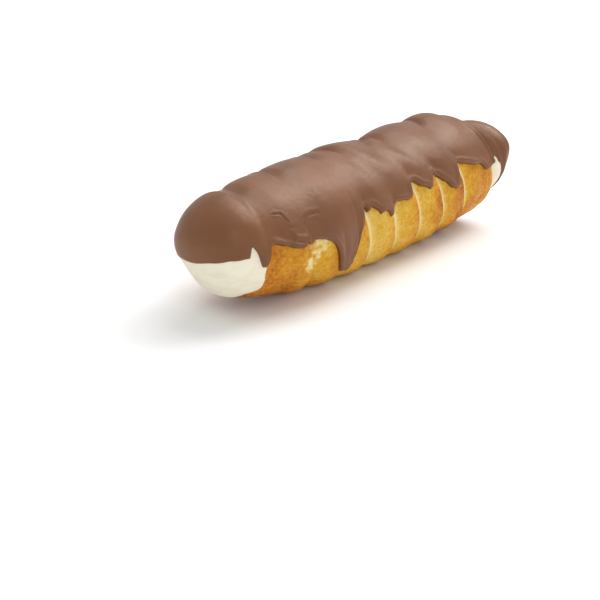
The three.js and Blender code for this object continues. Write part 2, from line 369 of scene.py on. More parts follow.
foam_skin, tree, shader, place = new_material("whipped_foam")
squeeze = tree.nodes.new("ShaderNodeMapping")
squeeze.inputs["Scale"].default_value = STREAK_SQUEEZE
tree.links.new(place, squeeze.inputs["Vector"])
drawn_out = squeeze.outputs["Vector"]
streaks = tone_mask(tree, drawn_out, scale=420.0, detail=3.0)
clouds = tone_mask(tree, place, scale=160.0, detail=2.0, contrast=0.15)
bubbles = place_group(tree, small_pits, place, {"Scale": 420.0, "Size": 0.16})
shade = weighted(tree, clouds, SHADE_SHARE, weighted(tree, streaks, SHADE_SHARE, 0.0))
tree.links.new(ramp(tree, shade, FOAM_STOPS), shader.inputs["Base Color"])
tree.links.new(weighted(tree, streaks, STREAK_ROUGHNESS, FOAM_ROUGHNESS), shader.inputs["Roughness"])
relief = weighted(tree, streaks, STREAK_RELIEF, weighted(tree, clouds, CLOUD_RELIEF, 0.0))
relief = weighted(tree, bubbles, BUBBLE_RELIEF, relief)
bumped(tree, shader, relief, FOAM_BUMP_DEPTH, FOAM_BUMP_STRENGTH)
print("material:", foam_skin.name)

# %% [markdown]
# ## The chocolate
# Milk chocolate that set on a cool tray is satin, not glossy: its highlights are broad. The tone
# hardly changes, so the material keeps two near browns, and most of the life comes from a slightly
# uneven roughness and a very shallow bump. The large waves of the coat are modelled, not painted.

# %% Chocolate material
MILK_BROWN = (0.185, 0.072, 0.030)
DEEP_BROWN = (0.145, 0.054, 0.022)
CHOCOLATE_STOPS = ((0.1, DEEP_BROWN), (0.9, MILK_BROWN))
WARM_SHEEN = (1.0, 0.78, 0.6, 1.0)
CHOCOLATE_ROUGHNESS = 0.36
CLOUD_ROUGHNESS = 0.08
SKIN_ROUGHNESS = 0.06
PINHOLE_RELIEF = -0.6
SKIN_RELIEF = 0.35
CHOCOLATE_BUMP_DEPTH = 0.0003
CHOCOLATE_BUMP_STRENGTH = 0.35

chocolate, tree, shader, place = new_material("milk_chocolate")
clouds = tone_mask(tree, place, scale=70.0, detail=3.0)
skin = tone_mask(tree, place, scale=520.0, detail=3.0)
pinholes = place_group(tree, small_pits, place, {"Scale": 260.0, "Size": 0.06})
tree.links.new(ramp(tree, clouds, CHOCOLATE_STOPS), shader.inputs["Base Color"])
shader.inputs["Specular Tint"].default_value = WARM_SHEEN
satin = weighted(tree, skin, SKIN_ROUGHNESS, CHOCOLATE_ROUGHNESS)
satin = weighted(tree, clouds, CLOUD_ROUGHNESS, satin)
tree.links.new(satin, shader.inputs["Roughness"])
relief = weighted(tree, pinholes, PINHOLE_RELIEF, weighted(tree, skin, SKIN_RELIEF, 0.0))
bumped(tree, shader, relief, CHOCOLATE_BUMP_DEPTH, CHOCOLATE_BUMP_STRENGTH)
print("material:", chocolate.name)

# %% [markdown]
# ## The wound pastry
# The strip goes round the mould like a bandage, so a screw is the shape to start from. A Screw
# modifier could make it too, but the spin operator leaves a plain mesh, whose vertices can be moved
# next. One profile across the strip is spun round X while it moves on by one pitch per turn. The end
# of each turn then meets the start of the next, and merging doubles makes one skin of them. The
# profile rises from the tuck to the lip and drops at the cut edge.

# %% The strip's profile
STRIP_PITCH = 14.6
TUCK_DEPTH = 1.3
STRIP_CROWN = 0.6
CROWN_PLACE = 0.75
LIP_DROP = 0.3
LIP_PLACE = 0.95
PROFILE_PLACES = (
    0.0, 0.03, 0.08, 0.15, 0.24, 0.34, 0.45, 0.56, 0.67, 0.77, 0.85, 0.91, LIP_PLACE, 0.972, 0.99,
)


def strip_relief(across):
    rise = math.sin(0.5 * math.pi * min(across / CROWN_PLACE, 1.0))
    past_crown = max(across - CROWN_PLACE, 0.0) / (1.0 - CROWN_PLACE)
    top = -TUCK_DEPTH + (TUCK_DEPTH + STRIP_CROWN) * rise - LIP_DROP * past_crown ** 2
    return mix(top, -TUCK_DEPTH, soft_step(across, LIP_PLACE, 1.0))


print("relief from tuck to cut edge:", [round(strip_relief(place), 2) for place in PROFILE_PLACES])

# %% Spin the profile into a screw
SEAM_X = -14.0
SEAM_ANGLE = 0.5 * math.pi
QUARTER_TURN = 0.25
FIRST_TURN = -5
TURNS = 12
TURN_STEPS = 120
MERGE_DISTANCE = 0.002

screw_start = SEAM_X - QUARTER_TURN * STRIP_PITCH + FIRST_TURN * STRIP_PITCH
pastry_bm = bmesh.new()
profile = []
for across in (*PROFILE_PLACES, 1.0):
    height = MIDDLE_RADIUS + strip_relief(across)
    profile.append(pastry_bm.verts.new((screw_start + across * STRIP_PITCH, 0.0, height)))
profile_edges = [pastry_bm.edges.new(pair) for pair in zip(profile, profile[1:])]
bmesh.ops.spin(
    pastry_bm, geom=profile + profile_edges, cent=(0, 0, 0), axis=(1, 0, 0),
    dvec=(STRIP_PITCH / TURN_STEPS, 0, 0), angle=2 * math.pi * TURNS, steps=TURN_STEPS * TURNS,
    use_merge=False,
)
bmesh.ops.remove_doubles(pastry_bm, verts=pastry_bm.verts, dist=MERGE_DISTANCE)
print("screw of", TURNS, "turns:", len(pastry_bm.faces), "faces")

# %% Keep the order of edges and faces the same in every run
# Spin makes them in an order that changes from run to run, and the bridge along the bore follows it.
def in_steady_order(bm):
    bm.verts.index_update()
    corners = sorted([vert.index for vert in face.verts] for face in bm.faces)
    steady = bmesh.new()
    verts = [steady.verts.new(vert.co) for vert in bm.verts]
    for face in corners:
        steady.faces.new([verts[index] for index in face])
    bm.free()
    return steady


pastry_bm = in_steady_order(pastry_bm)
print("faces in a steady order:", len(pastry_bm.faces))

# %% [markdown]
# ## From screw to crust
# Each vertex of the screw now moves to its place on the barrel. The turns lean, they fade out near
# the rims, and the crust is blistered, so a little noise goes on top. Lattice and Displace modifiers
# could bend and roughen it, but they know nothing of turns and seams. A loop over the vertices does,
# so it can also write what the material needs: how far the crust is baked, where the strip was cut,
# and where it is torn.

# %% How the turns lie on the barrel
TURN_TILT = 3.2
FIRST_SEAM_X = -52.0
LAST_SEAM_X = 50.0
SEAM_FADE = 5.0
SEAM_SNAP = 1e-3


def seam_strength(x):
    front = soft_step(x, FIRST_SEAM_X, FIRST_SEAM_X + SEAM_FADE)
    return front * (1.0 - soft_step(x, LAST_SEAM_X, LAST_SEAM_X + SEAM_FADE))


def turn_shift(angle):
    past = angle - SEAM_ANGLE
    return STRIP_PITCH * past / (2 * math.pi) + TURN_TILT * math.sin(past)


def strip_place(x, angle):
    turn = (x - SEAM_X - turn_shift(angle)) / STRIP_PITCH
    return turn - math.floor(turn + SEAM_SNAP)


print("a seam runs from", round(SEAM_X + turn_shift(0), 1), "at the top to", SEAM_X, "at the side")

# %% Crust relief: blisters, and the torn place on the near side
BLISTER_SIZE = 6.5
BLISTER_HEIGHT = 0.28
FINE_BLISTERS = 0.5
FINE_BLISTER_SCALE = 3.1
TEAR_LINE = ((-38.2, 83.0), (-41.0, 94.0), (-42.2, 103.0))
TEAR_WIDTH = 6.2
TEAR_CORE = 0.2
TEAR_GRAIN = 1.2
TEAR_RAGGED = 1.2


def blister(point):
    swell = noise.noise(point / BLISTER_SIZE)
    fine = noise.noise(FINE_BLISTER_SCALE * point / BLISTER_SIZE)
    return BLISTER_HEIGHT * (swell + FINE_BLISTERS * fine)


def unrolled(x, angle):
    return Vector((x, angle * tube_radius(x), 0.0))


def distance_to_line(place, start, end):
    run = end - start
    share = min(max((place - start).dot(run) / run.length_squared, 0.0), 1.0)
    return (place - start - share * run).length


def line_distance(x, angle, line):
    here = unrolled(x, angle)
    corners = [unrolled(corner_x, math.radians(degrees)) for corner_x, degrees in line]
    return min(distance_to_line(here, start, end) for start, end in zip(corners, corners[1:]))


def tear_mask(x, angle):
    away = line_distance(x, angle, TEAR_LINE)
    ragged = away + TEAR_RAGGED * noise.noise(unrolled(x, angle) / TEAR_GRAIN)
    return 1.0 - soft_step(ragged, TEAR_CORE * TEAR_WIDTH, TEAR_WIDTH)


tear_corners = [unrolled(x, math.radians(degrees)) for x, degrees in TEAR_LINE]
tear_length = sum((end - start).length for start, end in zip(tear_corners, tear_corners[1:]))
print("the tear is", round(tear_length, 1), "mm long")

# %% How far the crust is baked
MIDDLE_BAKE = 0.31
FRONT_BAKE = 0.34
FRONT_BAKE_SPAN = (30.0, 55.0)
BACK_BAKE = 0.24
BACK_BAKE_SPAN = (15.0, 50.0)
PALE_BAKE = 0.13
PALE_PLACE = -5.0
PALE_LENGTH = 11.0
LIP_BAKE = 0.26
LIP_BAKE_SPAN = (0.35, 0.92)
TUCK_BAKE = 0.24
TUCK_BAKE_SPAN = (0.08, 0.32)
FOOT_BAKE = 0.22
FOOT_BAKE_SPAN = (0.55, 1.0)


def bake_at(x, angle, across, strength):
    bake = MIDDLE_BAKE + FRONT_BAKE * soft_step(-x, *FRONT_BAKE_SPAN)
    bake += BACK_BAKE * soft_step(x, *BACK_BAKE_SPAN)
    bake -= PALE_BAKE * math.exp(-((x - PALE_PLACE) / PALE_LENGTH) ** 2)
    bake += strength * LIP_BAKE * soft_step(across, *LIP_BAKE_SPAN)
    bake -= strength * TUCK_BAKE * (1.0 - soft_step(across, *TUCK_BAKE_SPAN))
    return bake + FOOT_BAKE * soft_step(-math.cos(angle), *FOOT_BAKE_SPAN)


baked_places = [round(bake_at(x, SEAM_ANGLE, CROWN_PLACE, 0.0), 2) for x in RIMS_AND_MIDDLE]
print("bake at the rims and the middle:", baked_places)

# %% Move the screw onto the barrel and write the masks
FLOOR_LEVEL = FLAT_DEPTH - MIDDLE_RADIUS
FIRST_CLEAR_SEAM = -32.0
CUT_LIP_SPAN = (0.955, 0.985)
CUT_TUCK_SPAN = (0.09, 0.14)
TEAR_HEIGHT = 0.8
FLAKE_RISE = 0.35
bake_layer = pastry_bm.verts.layers.float.new("bake")
cut_layer = pastry_bm.verts.layers.float.new("cut_edge")
torn_layer = pastry_bm.verts.layers.float.new("torn")
for vert in pastry_bm.verts:
    angle = math.atan2(-vert.co.y, vert.co.z)
    relief = math.hypot(vert.co.y, vert.co.z) - MIDDLE_RADIUS
    x = vert.co.x + TURN_TILT * math.sin(angle - SEAM_ANGLE)
    height = axis_height(x)
    across = strip_place(x, angle)
    strength = seam_strength(x)
    torn = tear_mask(x, angle)
    flake = torn * TEAR_HEIGHT * (FLAKE_RISE + noise.noise(unrolled(x, angle) / TEAR_GRAIN))
    smooth_point = ring_point(x, tube_radius(x), angle, height)
    radius = tube_radius(x) + strength * relief + blister(smooth_point) + flake
    vert.co = ring_point(x, radius, angle, height)
    vert.co.z = max(vert.co.z, FLOOR_LEVEL)
    clear = strength * soft_step(x, FIRST_CLEAR_SEAM - SEAM_FADE, FIRST_CLEAR_SEAM)
    cut = max(soft_step(across, *CUT_LIP_SPAN), 1.0 - soft_step(across, *CUT_TUCK_SPAN))
    vert[bake_layer] = bake_at(x, angle, across, clear)
    vert[cut_layer] = clear * cut
    vert[torn_layer] = torn
lowest = min(vert.co.z for vert in pastry_bm.verts)
print("lowest point of the crust:", round(lowest, 2), "mm from the axis")

# %% [markdown]
# ## Rims and bore
# The screw is longer than the horn. A plane cuts it at each rim, nearly square at the front and
# slanting at the back. A boolean could cut it too, but bisecting leaves clean open loops. These are
# then extruded inwards in a few steps, which rounds the edge, down to the bore. A bridge between the
# two inner loops makes the bore, so the pastry is a closed piece.

# %% Cut the two rims
CUT_TOLERANCE = 1e-4
FRONT_RIM_LEAN = 0.1


def cut_beyond(bm, place, direction):
    geom = list(bm.verts) + list(bm.edges) + list(bm.faces)
    bmesh.ops.bisect_plane(
        bm, geom=geom, dist=CUT_TOLERANCE, plane_co=place, plane_no=direction, clear_outer=True,
    )


back_normal = (1.0, BACK_RIM_SIDEWAYS / BACK_RADIUS, BACK_RIM_UNDERCUT / BACK_RADIUS)
cut_beyond(pastry_bm, (FRONT_RIM, 0, 0), (-1.0, 0, FRONT_RIM_LEAN))
cut_beyond(pastry_bm, (BACK_RIM, 0, BACK_LIFT), back_normal)
print("faces between the rims:", len(pastry_bm.faces))

# %% Turn the rims in and join them along the bore
BORE_RADIUS = 14.5
BORE_LIFT = 0.7
RIM_STEPS = ((0.16, 0.45), (0.45, 0.7), (0.8, 0.5), (1.0, -0.6))


def open_edges(bm, outwards):
    edges = [edge for edge in bm.edges if edge.is_boundary]
    return [edge for edge in edges if edge.verts[0].co.x * outwards > 0]


def bore_point(point):
    angle = math.atan2(-point.y, point.z - BORE_LIFT)
    return ring_point(point.x, BORE_RADIUS, angle, BORE_LIFT)


def turn_in(bm, outwards):
    edges = open_edges(bm, outwards)
    start = {}
    for share, bulge in RIM_STEPS:
        made = bmesh.ops.extrude_edge_only(bm, edges=edges)["geom"]
        edges = [item for item in made if isinstance(item, bmesh.types.BMEdge) and item.is_boundary]
        for vert in {vert for edge in edges for vert in edge.verts}:
            begin = start.pop(tuple(vert.co), None) or vert.co.copy()
            vert.co = begin.lerp(bore_point(begin), share)
            vert.co.x += outwards * bulge
            start[tuple(vert.co)] = begin
    return edges


front_loop = turn_in(pastry_bm, -1)
back_loop = turn_in(pastry_bm, 1)
bmesh.ops.bridge_loops(pastry_bm, edges=front_loop + back_loop)
print("open edges left:", sum(edge.is_boundary for edge in pastry_bm.edges))

# %% Hand the pastry over with one level of subdivision
def subdivide(piece, level):
    modifier = piece.modifiers.new("rounding", "SUBSURF")
    modifier.levels = level
    modifier.render_levels = level


pastry = hand_over("wound_pastry", pastry_bm, crust, "pastry_tube")
subdivide(pastry, 1)

# %% [markdown]
# ## The foam
# The filling runs through the bore and swells out of both ends. A rod and two balls could be joined
# for that, but a lathe shape needs no joining: one outline from pole to pole, spun a full turn round
# X. The domes are a little boxier than a ball. After the spin the vertices move, because the back
# dome leans to the near side and follows the slanted rim.

# %% The two domes
RIM_GAP = 0.3
FRONT_INSET = 0.4
DOME_LIFT = 0.5
FRONT_END = {
    "rim": FRONT_RIM, "outwards": -1, "slant": 0.0, "inset": FRONT_INSET, "power": 2.3,
    "dome": 16.0, "pole_lift": -1.0, "pole_sideways": 0.0, "undercut": 6.0, "neck": 0.0,
}
BACK_END = {
    "rim": BACK_RIM, "outwards": 1, "slant": 1.0, "inset": BACK_INSET, "power": 2.1,
    "dome": 16.0, "pole_lift": 6.5, "pole_sideways": 9.0, "undercut": 7.0, "neck": 4.8,
}
NECK_LENGTH = 14.0
NECK_SPAN = (0.2, 1.0)
UNDERCUT_SPAN = (-0.2, 0.8)


def dome_shape(end, swing, grow):
    wide = tube_radius(end["rim"]) - end["inset"] + grow
    out = (end["dome"] + grow) * max(math.cos(swing), 0.0) ** (2 / end["power"])
    return out, wide * max(math.sin(swing), 0.0) ** (2 / end["power"])


def dome_point(end, out, radius, angle, grow):
    share = out / (end["dome"] + grow)
    slanting = end["slant"] * rim_slant(angle) * radius / BACK_RADIUS
    tucked = end["undercut"] * share * radius / BACK_RADIUS * soft_step(-math.cos(angle), *UNDERCUT_SPAN)
    x = end["rim"] + end["outwards"] * (RIM_GAP + out - tucked) + slanting
    neck = end["neck"] * math.exp(-(out / NECK_LENGTH) ** 2) * soft_step(math.cos(angle), *NECK_SPAN)
    height = axis_height(end["rim"]) + DOME_LIFT + end["pole_lift"] * share
    point = ring_point(x, radius - neck * radius / BACK_RADIUS, angle, height)
    point.y -= end["pole_sideways"] * share
    return point


print("the front dome reaches", FRONT_RIM - RIM_GAP - dome_shape(FRONT_END, 0, 0)[0], "mm")

# %% Spin the foam's outline
DOME_STEPS = 22
FOAM_STEPS = 96
SHANK_RADIUS = BORE_RADIUS - RIM_GAP


def dome_outline(end):
    outline = []
    for step in range(DOME_STEPS + 1):
        out, radius = dome_shape(end, 0.5 * math.pi * step / DOME_STEPS, 0.0)
        outline.append((end["rim"] + end["outwards"] * (RIM_GAP + out), radius))
    return outline


foam_bm = bmesh.new()
shank = [(FRONT_RIM - RIM_GAP, SHANK_RADIUS), (BACK_RIM + RIM_GAP, SHANK_RADIUS)]
outline = dome_outline(FRONT_END) + shank + dome_outline(BACK_END)[::-1]
line = [foam_bm.verts.new((x, 0.0, radius)) for x, radius in outline]
line_edges = [foam_bm.edges.new(pair) for pair in zip(line, line[1:])]
bmesh.ops.spin(
    foam_bm, geom=line + line_edges, cent=(0, 0, 0), axis=(1, 0, 0), dvec=(0, 0, 0),
    angle=2 * math.pi, steps=FOAM_STEPS, use_merge=True,
)
bmesh.ops.remove_doubles(foam_bm, verts=foam_bm.verts, dist=MERGE_DISTANCE)
foam_bm = in_steady_order(foam_bm)
print("foam:", len(foam_bm.faces), "faces")

# %% Lean the domes and make them a little lumpy
LUMP_SIZE = 9.0
LUMP_HEIGHT = 0.3
NEARLY_ZERO = 1e-3
SHANK_MARGIN = 0.01
OVER_RIM = 1.7
OVER_RIM_RADIUS = 0.8
OVER_RIM_ANGLE = math.radians(105)
OVER_RIM_SPAN = (0.3, 0.9)
OVER_RIM_LENGTH = 6.0
BARE_LIP = 2.2
BARE_LIP_SPAN = (0.7, 0.95)


def foam_place(point):
    angle = math.atan2(-point.y, point.z)
    radius = math.hypot(point.y, point.z)
    end = FRONT_END if point.x < 0 else BACK_END
    out = abs(point.x - end["rim"]) - RIM_GAP
    if out < NEARLY_ZERO and radius < SHANK_RADIUS + SHANK_MARGIN:
        slanting = end["slant"] * rim_slant(angle) * radius / BACK_RADIUS
        return ring_point(point.x + slanting, radius, angle, BORE_LIFT)
    if radius < NEARLY_ZERO:
        return dome_point(end, out, 0.0, angle, 0.0)
    swollen = radius + LUMP_HEIGHT * noise.noise(point / LUMP_SIZE)
    moved = dome_point(end, max(out, 0.0), swollen, angle, 0.0)
    if end is FRONT_END:
        wide = 1.0 - soft_step(out, 0.0, OVER_RIM_LENGTH)
        over = soft_step(math.cos(angle - OVER_RIM_ANGLE), *OVER_RIM_SPAN) * wide
        bare = soft_step(-math.cos(angle), *BARE_LIP_SPAN) * wide
        moved.x += OVER_RIM * over
        outwards = ring_point(0.0, 1.0, angle, 0.0)
        moved += outwards * (OVER_RIM_RADIUS * over - BARE_LIP * bare)
    return moved


for vert in foam_bm.verts:
    vert.co = foam_place(vert.co)
foam = hand_over("foam_core", foam_bm, foam_skin, "foam_filling")
subdivide(foam, 1)

# %% [markdown]
# ## The chocolate's edge
# Dipped chocolate stops in a wavy line: it sags in scallops between the turns, and here and there a
# drip runs further down. The line could be drawn as a curve, but a function of the place along the
# horn can be asked at any point, and the coat's thickness needs that too. Each scallop starts high at
# one place and sags to its tip, and a drip is a narrow bump on top. Reaches are measured along the
# surface from the top line.

# %% Scallops on both sides
FRONT_CAP_X = -67.3
BACK_CAP_X = 67.0
NEAR_SCALLOPS = (
    {"from": FRONT_CAP_X, "high": 27, "tip": -66, "low": 29},
    {"from": -61.5, "high": 28.7, "tip": -46.9, "low": 33.4},
    {"from": -45.8, "high": 30.8, "tip": -43, "low": 33.8},
    {"from": -41.8, "high": 31.8, "tip": -33, "low": 33.5},
    {"from": -32, "high": 33.8, "tip": -23, "low": 38.5},
    {"from": -19.8, "high": 34.5, "tip": -19.3, "low": 33.8},
    {"from": -16.6, "high": 26, "tip": -1, "low": 30.8},
    {"from": 1.7, "high": 28.3, "tip": 10, "low": 29.3},
    {"from": 11.3, "high": 23, "tip": 22.5, "low": 28.3},
    {"from": 24.8, "high": 23.6, "tip": 38.5, "low": 32.8},
    {"from": 41, "high": 23.3, "tip": 54, "low": 27.6},
    {"from": 64, "high": 30, "tip": BACK_CAP_X, "low": 29},
)
FAR_SCALLOPS = (
    {"from": FRONT_CAP_X, "high": 37, "tip": -56, "low": 35},
    {"from": -51, "high": 29, "tip": -39, "low": 34},
    {"from": -37, "high": 27, "tip": -23, "low": 33},
    {"from": -21, "high": 28, "tip": -9, "low": 31.5},
    {"from": -7, "high": 26, "tip": 7, "low": 33.5},
    {"from": 9, "high": 25, "tip": 21, "low": 30},
    {"from": 23, "high": 24, "tip": 37, "low": 32},
    {"from": 39, "high": 23.5, "tip": 60, "low": 31},
    {"from": 64.5, "high": 31, "tip": BACK_CAP_X, "low": 31.5},
)


def scallop_reach(scallops, x):
    begun = [index for index, scallop in enumerate(scallops) if scallop["from"] <= x]
    index = begun[-1] if begun else 0
    here = scallops[index]
    following = scallops[min(index + 1, len(scallops) - 1)]
    if x <= here["tip"] or following is here:
        return mix(here["high"], here["low"], soft_step(x, here["from"], here["tip"]))
    return mix(here["low"], following["high"], soft_step(x, here["tip"], following["from"]))


print("scallops on the near and the far side:", len(NEAR_SCALLOPS), "and", len(FAR_SCALLOPS))

# %% Drips on both sides
NEAR_DRIPS = (
    {"x": -63.2, "reach": 38.9, "before": 2.0, "after": 1.9},
    {"x": -22.8, "reach": 50.2, "before": 7.8, "after": 1.3},
    {"x": -13.6, "reach": 28.4, "before": 0.8, "after": 0.8},
    {"x": -7.6, "reach": 30.5, "before": 0.9, "after": 0.9},
    {"x": -2.3, "reach": 32.7, "before": 1.3, "after": 1.0},
    {"x": 59.6, "reach": 31.6, "before": 2.9, "after": 3.0},
    {"x": 71.5, "reach": 57.0, "before": 1.7, "after": 1.4},
)
FAR_DRIPS = (
    {"x": -46, "reach": 40, "before": 3.0, "after": 3.0},
    {"x": 14, "reach": 44, "before": 4.5, "after": 4.0},
)
DRIP_POWER = 3.0


def drip_reach(drip, base, x):
    away = abs(x - drip["x"]) / (drip["before"] if x < drip["x"] else drip["after"])
    return base + (drip["reach"] - base) * math.exp(-away ** DRIP_POWER)


print("drips on the near and the far side:", len(NEAR_DRIPS), "and", len(FAR_DRIPS))

# %% The dip line on the domes, and the edge as an angle
MEAN_COAT = 1.0
REACH_RADIUS = MIDDLE_RADIUS + MEAN_COAT
CAP_BLEND = 1.2
CAP_LEAD = 0.2
POLE_BLEND = 8.0
EDGE_WOBBLE = 0.7
EDGE_WOBBLE_SIZE = 2.6
WOBBLE_ROW = 7.0
FRONT_END.update(dip_level=1.7, dip_tilt=0.15, cap=FRONT_CAP_X)
BACK_END.update(dip_level=6.0, dip_tilt=0.0, cap=BACK_CAP_X)


def dip_angle(end, out, radius, side):
    height = axis_height(end["rim"]) + DOME_LIFT + end["pole_lift"] * out / end["dome"]
    rise = (end["dip_level"] - height) * soft_step(radius, 0.0, POLE_BLEND)
    level = rise / max(radius, MERGE_DISTANCE)
    return math.acos(min(max(level, -1.0), 1.0)) - side * end["dip_tilt"]


def edge_angle(station, side):
    scallops, drips = (NEAR_SCALLOPS, NEAR_DRIPS) if side > 0 else (FAR_SCALLOPS, FAR_DRIPS)
    x = station["x"]
    base = scallop_reach(scallops, min(max(x, FRONT_CAP_X), BACK_CAP_X))
    end = station["end"]
    if end:
        beyond = soft_step((x - end["cap"]) * end["outwards"], -CAP_LEAD * CAP_BLEND, CAP_BLEND)
        level = REACH_RADIUS * dip_angle(end, station["out"], station["radius"], side)
        base = mix(base, level, beyond)
    base += EDGE_WOBBLE * noise.noise(Vector((x / EDGE_WOBBLE_SIZE, WOBBLE_ROW * side, 0.0)))
    return max([base] + [drip_reach(drip, base, x) for drip in drips]) / REACH_RADIUS


print("the dip line is", FRONT_END["dip_level"], "and", BACK_END["dip_level"], "mm above the axis")

# %% [markdown]
# ## The coat as a rolled grid
# The coat is a thin shell with a rounded edge: an outside, an inside against the pastry, and a fold
# where they meet. A Solidify modifier on a copied skin would leave it square at the edge and equally
# thick all over. A flat grid can be rolled into it instead. One direction of the grid runs along the
# horn from pole to pole, and the other goes over the outside from the far edge to the near edge and
# comes back along the inside. The places along the horn are worked out first, evenly spaced on the
# surface.

# %% Stations along the horn
STATION_STEP = 0.5
FINE_STEPS = 600
BACK_OVERHANG = 0.9


def dome_stations(end):
    stations = []
    travelled = 0.0
    before = dome_shape(end, 0.0, 0.0)
    due = 0.0
    for step in range(FINE_STEPS + 1):
        swing = 0.5 * math.pi * step / FINE_STEPS
        out, radius = dome_shape(end, swing, 0.0)
        travelled += math.hypot(out - before[0], radius - before[1])
        before = (out, radius)
        if travelled >= due:
            x = end["rim"] + end["outwards"] * (RIM_GAP + out)
            stations.append({"end": end, "x": x, "out": out, "radius": radius, "swing": swing})
            due += STATION_STEP
    return stations


tube_count = round((BACK_RIM + BACK_OVERHANG - FRONT_RIM) / STATION_STEP)
tube_stations = []
for step in range(tube_count + 1):
    x = mix(FRONT_RIM, BACK_RIM + BACK_OVERHANG, step / tube_count)
    tube_stations.append({"end": None, "x": x})
stations = dome_stations(FRONT_END) + tube_stations + dome_stations(BACK_END)[::-1]
for station in stations:
    station["near"] = edge_angle(station, 1)
    station["far"] = edge_angle(station, -1)
print(len(stations), "stations from", round(stations[0]["x"], 1), "to", round(stations[-1]["x"], 1), "mm")

# %% A point of the coat, and the points of its edge for measuring distances
SLANT_START = 40.0
RIM_COVER = 0.9
RIM_COVER_GROWTH = 0.5
RIM_COVER_LENGTH = 3.0


def coat_point(station, angle, grow):
    end = station["end"]
    if end:
        out, radius = dome_shape(end, station["swing"], grow)
        point = dome_point(end, out, radius, angle, grow)
        cover = RIM_COVER + RIM_COVER_GROWTH * grow
        point.x += end["slant"] * cover * math.exp(-(out / RIM_COVER_LENGTH) ** 2)
        return point
    x = station["x"]
    slanted = x + rim_slant(angle) * soft_step(x, SLANT_START, BACK_RIM)
    return ring_point(slanted, tube_radius(x) + grow, angle, axis_height(x))


edge_points = KDTree(2 * len(stations))
for index, station in enumerate(stations):
    edge_points.insert(coat_point(station, station["near"], 0.0), 2 * index)
    edge_points.insert(coat_point(station, -station["far"], 0.0), 2 * index + 1)
edge_points.balance()
print("the edge is marked by", 2 * len(stations), "points")

# %% [markdown]
# ## Waves, folds and beads in the coat
# The chocolate bridges the turns, so it shows them softened: each lap is a rise, a lip and a drop.
# Not every lap shows equally. Near the front the coat set in folds round a burst bubble, and along
# its lower edge it is thick, because it ran down and stopped there. A Displace modifier could give
# waves, but not these ones at their places, so they are functions of the place on the surface. Swells
# and the thick edge make up the coat's thickness. The coat is softened once it is rolled, so the fine
# lines are kept apart and added after that, and stay crisp.

# %% The laps that show in the coat
LAPS = (
    {"top": -57.3, "shoulder": -59.8, "near": -63.5, "end": 1.2, "lip": 0.7, "crest": 2.3, "place": 0.45},
    {"top": -39.9, "shoulder": -41.8, "near": -40.0, "end": 1.9, "lip": 1.1, "crest": 2.6, "place": 0.6},
    {"top": -19.5, "shoulder": -20.0, "near": -15.3, "end": 2.1, "lip": 0.7, "crest": 2.4, "place": 0.6},
    {"top": -11.2, "shoulder": -8.0, "near": -1.5, "end": 2.2, "lip": 1.2, "crest": 3.4, "place": 0.3},
    {"top": 13.0, "shoulder": 6.3, "near": 12.2, "end": 1.4, "lip": 0.9, "crest": 1.6, "place": 0.5},
    {"top": 16.5, "shoulder": 15.8, "near": 26.0, "end": 1.1, "lip": 1.1, "crest": 3.3, "place": 0.55},
    {"top": 44.8, "shoulder": 39.5, "near": 42.3, "end": 1.8, "lip": 1.5, "crest": 3.4, "place": 0.6},
)
BACK_LAP = {"top": BACK_RIM, "shoulder": BACK_RIM, "near": BACK_RIM, "end": 0.7}
TOP_ANGLE = math.radians(-25)
SHOULDER_ANGLE = math.radians(15)
NEAR_ANGLE = math.radians(60)
FAR_LEAN = -8.0


def lap_x(lap, angle):
    lean = FAR_LEAN * min(angle - TOP_ANGLE, 0.0)
    upper = mix(lap["top"], lap["shoulder"], soft_step(angle, TOP_ANGLE, SHOULDER_ANGLE))
    return mix(upper, lap["near"], soft_step(angle, SHOULDER_ANGLE, NEAR_ANGLE)) + lean


print("laps at the top, from front to back:", [lap["top"] for lap in LAPS])

# %% Swells between the laps
NEARNESS_END = 0.75 * NEAR_ANGLE
NEAR_CREST = 1.8
NEAR_CREST_PLACE = 0.5
NEAR_END = 1.4
LIP_FADE_START = math.radians(-12)
LIP_FADE_END = math.radians(22)


def pillow(share, crest_place, softness):
    part = share / crest_place if share < crest_place else (1.0 - share) / (1.0 - crest_place)
    return mix(math.sin(0.5 * math.pi * part), soft_step(part, 0.0, 1.0), softness)


def swell_at(x, angle):
    laps = (*LAPS, BACK_LAP)
    places = [lap_x(lap, angle) for lap in laps]
    index = sum(place <= x for place in places[:-1]) - 1
    if index < 0:
        return None
    here, following = laps[index], laps[index + 1]
    nearness = soft_step(angle, -SHOULDER_ANGLE, NEARNESS_END)
    crest = mix(here["crest"], NEAR_CREST, nearness)
    share = (x - places[index]) / (places[index + 1] - places[index])
    crest_place = mix(here["place"], NEAR_CREST_PLACE, nearness)
    lower = here if share < crest_place else following
    low = mix(lower["end"], NEAR_END, nearness)
    softness = soft_step(angle, LIP_FADE_START, LIP_FADE_END)
    return mix(low, crest, pillow(share, crest_place, softness))


print("the swell at the middle of the top:", round(swell_at(0.0, 0.0), 2), "mm")

